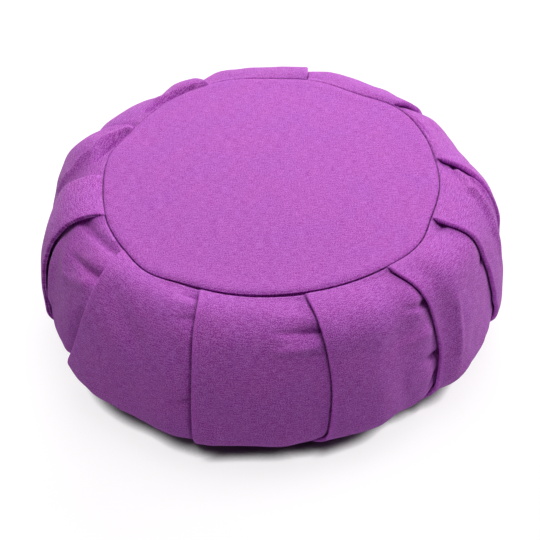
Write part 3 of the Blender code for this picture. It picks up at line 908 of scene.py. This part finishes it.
def make_strap(material):
    """A strap of cloth folded double, its two edges pressed round."""
    half = STRAP_THICKNESS / STRAP_WIDTH
    flat_end = 1 - STRAP_EDGE_REACH * half
    flat = np.linspace(-flat_end, flat_end, STRAP_COLUMNS)
    # over the inner face, up one edge, back over the outer face and down the other edge
    section = [(across, 0.0) for across in flat]
    section += [(1 - inward * half * 2, part) for inward, part in STRAP_EDGE]
    section += [(across, 1.0) for across in flat[::-1]]
    section += [(inward * half * 2 - 1, 1 - part) for inward, part in STRAP_EDGE]
    cloth = Cloth()
    rings = []
    for row in range(STRAP_ROWS):
        down = STRAP_START + (STRAP_END - STRAP_START) * row / (STRAP_ROWS - 1)
        points = [strap_point(down, across, part * STRAP_THICKNESS) for across, part in section]
        places = [(across * STRAP_WIDTH / 2, down * SIDE_LENGTH) for across, _ in section]
        # painted highlight along the two edges of the strap's outer face
        painted_highlights = [
            max(0.0, (abs(across) - STRAP_HIGHLIGHT_FROM) / (1 - STRAP_HIGHLIGHT_FROM)) * (part > OUTER_FACE)
            for across, part in section
        ]
        rings.append(cloth.ring(points, places, painted_highlights))
    for upper, lower in zip(rings, rings[1:]):
        cloth.join(upper, lower)
    for ring in (rings[0], rings[-1]):
        middle = np.mean([cloth.points[i] for i in ring], axis=0)
        cloth.fan(ring, tuple(middle))
    return cloth.finish("strap", material)


class Tree:
    """A short way to place and link nodes."""

    # the sockets of a colour mix, among those of the other kinds
    MIX_FIRST = 6
    MIX_SECOND = 7
    MIX_RESULT = 2

    def __init__(self, tree):
        self.tree = tree

    def node(self, kind, **settings):
        node = self.tree.nodes.new(kind)
        for name, value in settings.items():
            setattr(node, name, value)
        return node

    def put(self, socket, value):
        if isinstance(value, bpy.types.NodeSocket):
            self.tree.links.new(value, socket)
        elif value is not None:
            socket.default_value = value

    def math(self, operation, first, second=None):
        node = self.node("ShaderNodeMath", operation=operation)
        self.put(node.inputs[0], first)
        self.put(node.inputs[1], second)
        return node.outputs[0]

    def plus(self, first, second, share):
        """The first value and a share of the second."""
        return self.math("ADD", first, self.math("MULTIPLY", second, share))

    def noise(self, vector, scale, detail, output="Fac"):
        node = self.node("ShaderNodeTexNoise")
        self.put(node.inputs["Vector"], vector)
        node.inputs["Scale"].default_value = scale
        node.inputs["Detail"].default_value = detail
        return node.outputs[output]

    def stretched(self, vector, scale):
        node = self.node("ShaderNodeMapping")
        self.put(node.inputs["Vector"], vector)
        node.inputs["Scale"].default_value = scale
        return node.outputs[0]

    def span(self, value, low, high, to_low=0.0, to_high=1.0):
        """Maps what lies between two values onto 0 to 1, or onto another span."""
        node = self.node("ShaderNodeMapRange")
        self.put(node.inputs["Value"], value)
        node.inputs["From Min"].default_value = low
        node.inputs["From Max"].default_value = high
        node.inputs["To Min"].default_value = to_low
        node.inputs["To Max"].default_value = to_high
        return node.outputs[0]

    def mix(self, factor, first, second, blend="MIX"):
        node = self.node("ShaderNodeMix", data_type="RGBA", blend_type=blend)
        self.put(node.inputs["Factor"], factor)
        self.put(node.inputs[self.MIX_FIRST], first)
        self.put(node.inputs[self.MIX_SECOND], second)
        return node.outputs[self.MIX_RESULT]


def plain_weave_group():
    """Plain-woven cotton: its threads' height, the tone of each place, a slow drift and nap."""
    group = bpy.data.node_groups.new("plain_weave", "ShaderNodeTree")
    sockets = (
        ("Cloth", "NodeSocketVector"),
        ("Place", "NodeSocketVector"),
        ("Threads per metre", "NodeSocketFloat"),
    )
    for name, kind in sockets:
        group.interface.new_socket(name, in_out="INPUT", socket_type=kind)
    for name in ("Height", "Tone", "Drift", "Nap"):
        group.interface.new_socket(name, in_out="OUTPUT", socket_type="NodeSocketFloat")
    t = Tree(group)
    inputs = t.node("NodeGroupInput")
    outputs = t.node("NodeGroupOutput")
    cloth, place, count = inputs.outputs[:3]
    # threads wander a little from their straight line
    shifted = t.node("ShaderNodeVectorMath", operation="MULTIPLY_ADD")
    t.put(shifted.inputs[0], t.noise(cloth, WANDER_SCALE, 1.0, "Color"))
    shifted.inputs[1].default_value = (WANDER, WANDER, 0.0)
    t.put(shifted.inputs[2], cloth)
    scaled = t.node("ShaderNodeVectorMath", operation="SCALE")
    t.put(scaled.inputs[0], shifted.outputs[0])
    t.put(scaled.inputs["Scale"], count)
    split = t.node("ShaderNodeSeparateXYZ")
    t.put(split.inputs[0], scaled.outputs[0])
    warp_x, weft_y = split.outputs[:2]

    def thread(across, along):
        """One set of threads, bulging where it passes over the other set."""
        round_part = t.math("ABSOLUTE", t.math("SINE", t.math("MULTIPLY", across, math.pi)))
        turn = t.math("ADD", along, t.math("FLOOR", across))
        over = t.math("COSINE", t.math("MULTIPLY", turn, math.pi))
        over = t.math("ADD", t.math("MULTIPLY", over, THREAD_DIP), 1.0 - THREAD_DIP)
        return t.math("MULTIPLY", round_part, over)

    warp = thread(warp_x, weft_y)
    weft = thread(weft_y, t.math("ADD", warp_x, 1.0))
    height = t.math("MAXIMUM", warp, weft)
    slub = t.noise(t.stretched(cloth, (1.0, SLUB_STRETCH, 1.0)), SLUB_SCALE, 1.0)
    cross_slub = t.noise(t.stretched(cloth, (SLUB_STRETCH, 1.0, 1.0)), SLUB_SCALE, 1.0)
    slubs = t.plus(t.math("MULTIPLY", slub, WARP_SLUBS), cross_slub, WEFT_SLUBS)
    # the tone is partly random, from slubs and fuzz, and partly painted highlight on raised thread
    # crowns and painted shade in the gaps
    tone = t.plus(t.math("MULTIPLY", height, CROWN_HIGHLIGHT_AND_GAP_SHADE), slubs, TONE_OF_SLUBS)
    tone = t.plus(tone, t.noise(cloth, FUZZ_SCALE, 1.0), TONE_OF_FUZZ)
    t.put(outputs.inputs["Height"], t.plus(height, slubs, SLUB_HEIGHT))
    t.put(outputs.inputs["Tone"], tone)
    t.put(outputs.inputs["Drift"], t.noise(place, DRIFT_SCALE, 3.0))
    t.put(outputs.inputs["Nap"], t.noise(place, NAP_SCALE, 2.0))
    return group


WEAVE = plain_weave_group()


def shade(brightness, green=1.0):
    """The cotton's colour, brighter or darker, with more or less of its green."""
    red, middle, blue = COTTON
    return tuple(min(1.0, part * brightness) for part in (red, middle * green, blue)) + (1.0,)


def cotton(name, sheen, spread):
    """A matt cotton with its weave, slubs and nap, painted highlight and shade on its threads, and
    a painted highlight on its fold edges.
    """
    material = bpy.data.materials.new(name)
    material.use_nodes = True
    t = Tree(material.node_tree)
    shader = material.node_tree.nodes["Principled BSDF"]
    weave = t.node("ShaderNodeGroup")
    weave.node_tree = WEAVE
    t.put(weave.inputs["Cloth"], t.node("ShaderNodeUVMap", uv_map="cloth_metres").outputs["UV"])
    t.put(weave.inputs["Place"], t.node("ShaderNodeTexCoord").outputs["Object"])
    weave.inputs["Threads per metre"].default_value = THREADS_PER_METRE
    tone = t.span(weave.outputs["Tone"], MEAN_TONE - spread / 2, MEAN_TONE + spread / 2)
    # thread colour, partly random and partly painted highlight on the crowns and painted shade
    # between threads
    threads = t.mix(tone, shade(*DARK_THREAD_AND_GAP_SHADE), shade(*LIGHT_THREAD_AND_CROWN_HIGHLIGHT))
    hue = t.mix(t.span(weave.outputs["Drift"], *DRIFT_SPAN), COOL, WARM)
    dyed_and_shaded = t.mix(1.0, threads, hue, "MULTIPLY")
    # painted highlight on the fold noses and strap edges
    fold = t.node("ShaderNodeAttribute", attribute_name="fold_highlight")
    highlighted = t.math("MULTIPLY", fold.outputs["Fac"], FOLD_HIGHLIGHT_SHARE)
    t.put(shader.inputs["Base Color"], t.mix(highlighted, dyed_and_shaded, shade(FOLD_HIGHLIGHT)))
    t.put(shader.inputs["Roughness"], t.span(weave.outputs["Nap"], 0.0, 1.0, *ROUGHNESS))
    bump = t.node("ShaderNodeBump")
    bump.inputs["Strength"].default_value = WEAVE_RELIEF
    bump.inputs["Distance"].default_value = RELIEF_DISTANCE
    relief = t.plus(weave.outputs["Height"], weave.outputs["Nap"], NAP_HEIGHT)
    t.put(bump.inputs["Height"], relief)
    t.put(shader.inputs["Normal"], bump.outputs["Normal"])
    shader.inputs["Specular IOR Level"].default_value = SPECULAR
    shader.inputs["Sheen Weight"].default_value = sheen
    shader.inputs["Sheen Roughness"].default_value = SHEEN_ROUGHNESS
    shader.inputs["Sheen Tint"].default_value = SHEEN_TINT
    return material


def make_floor():
    """A wide pale floor, brighter to the eye than to the cushion."""
    mesh = bpy.data.meshes.new("floor")
    signs = ((-1, -1), (1, -1), (1, 1), (-1, 1))
    corners = [(x * FLOOR_HALF, y * FLOOR_HALF, -FLOOR_DROP) for x, y in signs]
    mesh.from_pydata(corners, [], [(0, 1, 2, 3)])
    floor = bpy.data.objects.new("floor", mesh)
    bpy.context.scene.collection.objects.link(floor)
    material = bpy.data.materials.new("floor_paint")
    material.use_nodes = True
    t = Tree(material.node_tree)
    shader = material.node_tree.nodes["Principled BSDF"]
    seen = t.node("ShaderNodeLightPath").outputs["Is Camera Ray"]
    t.put(shader.inputs["Base Color"], t.mix(seen, FLOOR_BOUNCE, FLOOR_SEEN))
    # the lit table top glows to the eye, but not where the cushion shades it closely
    shade_near = t.node("ShaderNodeAmbientOcclusion")
    shade_near.inputs["Distance"].default_value = SHADE_REACH
    glow = t.mix(t.span(shade_near.outputs["AO"], *SHADE_SPAN), BLACK, FLOOR_GLOW)
    t.put(shader.inputs["Emission Color"], t.mix(seen, BLACK, glow))
    shader.inputs["Emission Strength"].default_value = 1.0
    shader.inputs["Roughness"].default_value = FLOOR_ROUGHNESS
    shader.inputs["Specular IOR Level"].default_value = 0.0
    mesh.materials.append(material)


def add_area(name, place, target, size, power):
    light = bpy.data.lights.new(name, "AREA")
    light.shape = "DISK"
    light.size = size
    light.energy = power
    thing = bpy.data.objects.new(name, light)
    thing.location = place
    thing.rotation_euler = (Vector(target) - Vector(place)).to_track_quat("-Z", "Y").to_euler()
    bpy.context.scene.collection.objects.link(thing)


def light_studio():
    """Soft boxes overhead, behind and at both sides, with dim white walls."""
    world = bpy.data.worlds.new("studio")
    bpy.context.scene.world = world
    world.use_nodes = True
    t = Tree(world.node_tree)
    background = world.node_tree.nodes["Background"]
    background.inputs["Color"].default_value = WHITE
    seen = t.node("ShaderNodeLightPath").outputs["Is Camera Ray"]
    strength = t.math("ADD", t.math("MULTIPLY", seen, SKY_SEEN), SKY_LIGHT)
    t.put(background.inputs["Strength"], strength)
    for name, place, size, power in STUDIO_LIGHTS:
        add_area(name, place, LIGHT_TARGET, size, power)


def place_camera():
    turn = math.radians(CAMERA_AZIMUTH)
    lift = math.radians(CAMERA_ELEVATION)
    level = math.cos(lift)
    back = Vector((math.sin(turn) * level, -math.cos(turn) * level, math.sin(lift)))
    data = bpy.data.cameras.new("camera")
    data.lens = CAMERA_LENS
    data.sensor_width = CAMERA_SENSOR
    camera = bpy.data.objects.new("camera", data)
    camera.location = CAMERA_PIVOT + back * CAMERA_DISTANCE
    camera.rotation_euler = (CAMERA_TARGET - camera.location).to_track_quat("-Z", "Y").to_euler()
    bpy.context.scene.collection.objects.link(camera)
    bpy.context.scene.camera = camera


def dress():
    """Puts each finished piece in the place of its solid."""
    side = make_side(cotton("side_cotton", **SIDE_LOOK))
    top = make_top_cloth(cotton("panel_cotton", **PANEL_LOOK))
    bottom = make_bottom_cloth(cotton("base_cotton", **SIDE_LOOK))
    strap = make_strap(cotton("strap_cotton", **SIDE_LOOK))
    for piece, node, slot in (
        (side, "side_band", "band_cloth"),
        (top, "top_panel", "panel_cloth"),
        (bottom, "bottom_panel", "base_cloth"),
        (strap, "carry_strap", "strap_cloth"),
    ):
        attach(piece, "root")
        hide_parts(node)


light_studio()
place_camera()
make_floor()
dress()
bpy.context.scene.view_settings.view_transform = "Standard"
